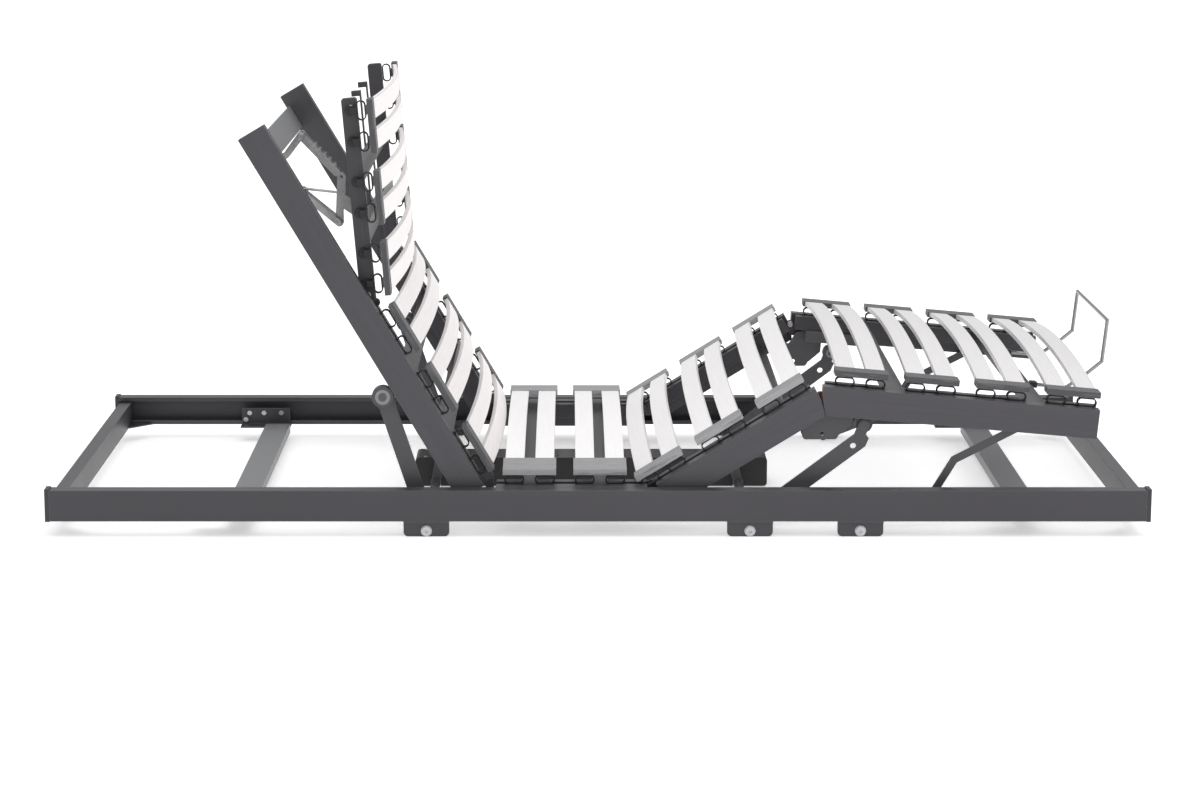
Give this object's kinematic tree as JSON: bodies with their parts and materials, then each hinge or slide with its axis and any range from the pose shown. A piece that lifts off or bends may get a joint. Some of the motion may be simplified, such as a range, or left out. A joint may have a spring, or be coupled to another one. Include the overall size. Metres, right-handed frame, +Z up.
{
  "type": "adjustable bed base",
  "caption": "Slatted adjustable bed base: steel frame with a lifting back, tilting neck rest, fixed seat, bent leg section and a flat drive housing between the rails.",
  "frame": {"origin": "middle of the base frame, on the floor at the underside of the lugs", "axes": "+X towards the foot end, +Z up, +Y towards the left side of a person lying on it"},
  "size_m": [2, 0.9, 0.7887],
  "materials": {
    "frame_steel": "satin anthracite powder coat",
    "grey_steel": "satin grey paint",
    "gear_steel": "satin grey paint",
    "laminate": "anthracite foil on laminated wood",
    "slat_wood": "white coated, satin",
    "cap_plastic": "matt grey",
    "bearing_rubber": "matt black",
    "black_plastic": "fine grained",
    "zinc": "bright zinc plated",
    "bright_wire": "bright zinc plated wire",
    "motor_metal": "satin",
    "ivory_plastic": "matt",
    "roller": "hard dark tyre, grey hub"
  },
  "bodies": {
    "base": {"side_rail_right": "frame_steel", "side_rail_left": "frame_steel", "head_crossbar": "frame_steel", "foot_crossbar": "frame_steel", "rail_end_caps": "black_plastic", "mid_crossbars": "grey_steel", "frame_brackets": "frame_steel", "bracket_bolts": "zinc", "lugs": "frame_steel", "lug_bolts": "zinc", "seat_rails": "laminate", "seat_inner_rails": "laminate", "seat_crossmembers": "laminate", "motor_housing": "black_plastic", "motor_cover": "black_plastic", "drive_motors": "motor_metal", "drive_spindles": "zinc", "cable_socket": "black_plastic", "slats_seat": "slat_wood", "slat_caps_seat": "cap_plastic", "bearings_seat": "bearing_rubber"},
    "back": {"back_rails": "laminate", "back_inner_rails": "laminate", "back_crossbar": "grey_steel", "back_crossmembers": "laminate", "ratchet_bracket": "zinc", "slats_back": "slat_wood", "slat_caps_back": "cap_plastic", "bearings_back": "bearing_rubber"},
    "neck": {"neck_inner_rails": "laminate", "neck_crossmembers": "laminate", "neck_bracket": "zinc", "slats_neck": "slat_wood", "slat_caps_neck": "cap_plastic", "bearings_neck": "bearing_rubber"},
    "toothed_arm": {"ratchet_arm": "zinc"},
    "lower_link": {"ratchet_link": "zinc"},
    "thin_rod": {"ratchet_rod": "zinc"},
    "thigh": {"thigh_rails": "laminate", "thigh_inner_rails": "laminate", "slats_thigh": "slat_wood", "slat_caps_thigh": "cap_plastic", "bearings_thigh": "bearing_rubber"},
    "calf": {"calf_rails": "laminate", "calf_inner_rails": "laminate", "calf_crossmembers": "laminate", "knee_brackets": "gear_steel", "retainer_hoop": "bright_wire", "slats_calf": "slat_wood", "slat_caps_calf": "cap_plastic", "bearings_calf": "bearing_rubber"},
    "back_arms": {"back_torque_tube": "gear_steel", "back_lift_arms": "gear_steel"},
    "back_wheels": {"back_rollers": "roller"},
    "leg_arms": {"leg_torque_tube": "gear_steel", "leg_lift_arms": "gear_steel"},
    "leg_wheels": {"leg_rollers": "roller"},
    "struts": {"calf_struts": "gear_steel"},
    "back_nut": {"back_slider": "ivory_plastic"},
    "leg_nut": {"leg_slider": "ivory_plastic"}
  },
  "joints": [
    {"name": "back_lift", "type": "hinge", "parent": "base", "child": "back", "pos_m": [-0.197, 0, 0.101], "axis": [0, 1, 0], "range_deg": [-59.4, 0]},
    {"name": "neck_tilt", "type": "hinge", "parent": "back", "child": "neck", "pos_m": [-0.40287, 0, 0.41375], "axis": [0, 1, 0], "range_deg": [-25.8, 0]},
    {"name": "thigh_lift", "type": "hinge", "parent": "base", "child": "thigh", "pos_m": [0.101, 0, 0.077], "axis": [0, -1, 0], "range_deg": [-31.8, 0]},
    {"name": "calf_fold", "type": "hinge", "parent": "thigh", "child": "calf", "pos_m": [0.40414, 0, 0.24848], "axis": [0, 1, 0], "range_deg": [-36.9, 0.1]},
    {"name": "back_arm_turn", "type": "hinge", "parent": "base", "child": "back_arms", "pos_m": [-0.3106, 0, 0.0105], "axis": [0, 1, 0], "range_deg": [-71.7, 0.1]},
    {"name": "back_wheel_roll", "type": "hinge", "parent": "back_arms", "child": "back_wheels", "pos_m": [-0.38931, 0, 0.24989], "axis": [0, 1, 0], "continuous": true},
    {"name": "leg_arm_turn", "type": "hinge", "parent": "base", "child": "leg_arms", "pos_m": [0.2755, 0, 0.0105], "axis": [0, -1, 0], "range_deg": [-40.2, 0.1]},
    {"name": "leg_wheel_roll", "type": "hinge", "parent": "leg_arms", "child": "leg_wheels", "pos_m": [0.48563, 0, 0.19252], "axis": [0, 1, 0], "continuous": true},
    {"name": "strut_turn", "type": "hinge", "parent": "base", "child": "struts", "pos_m": [0.4755, 0, 0.0105], "axis": [0, -1, 0], "range_deg": [-24.95, 0.1]},
    {"name": "toothed_arm_turn", "type": "hinge", "parent": "back", "child": "toothed_arm", "pos_m": [-0.55356, -0.124, 0.69409], "axis": [0, 1, 0], "range_deg": [-0.1, 46.5]},
    {"name": "lower_link_turn", "type": "hinge", "parent": "back", "child": "lower_link", "pos_m": [-0.5527, -0.124, 0.58655], "axis": [0, 1, 0], "range_deg": [-0.1, 36.5]},
    {"name": "thin_rod_turn", "type": "hinge", "parent": "back", "child": "thin_rod", "pos_m": [-0.5527, -0.124, 0.58655], "axis": [0, 1, 0], "range_deg": [-0.1, 79.3]},
    {"name": "back_nut_slide", "type": "slide", "parent": "base", "child": "back_nut", "axis": [1, 0, 0], "range_m": [-0.001, 0.056]},
    {"name": "leg_nut_slide", "type": "slide", "parent": "base", "child": "leg_nut", "axis": [1, 0, 0], "range_m": [-0.041, 0.001]}
  ],
  "couplings": [
    {"joint": "calf_fold", "follows": "thigh_lift", "ratio": 1.1572},
    {"joint": "leg_arm_turn", "follows": "thigh_lift", "ratio": 1.261},
    {"joint": "strut_turn", "follows": "thigh_lift", "ratio": 0.78113},
    {"joint": "leg_nut_slide", "follows": "thigh_lift", "m_per_rad": 0.072},
    {"joint": "back_arm_turn", "follows": "back_lift", "ratio": 1.2054},
    {"joint": "back_nut_slide", "follows": "back_lift", "m_per_rad": -0.053},
    {"joint": "toothed_arm_turn", "follows": "neck_tilt", "ratio": -1.794},
    {"joint": "lower_link_turn", "follows": "neck_tilt", "ratio": -1.407},
    {"joint": "thin_rod_turn", "follows": "neck_tilt", "ratio": -3.06}
  ]
}
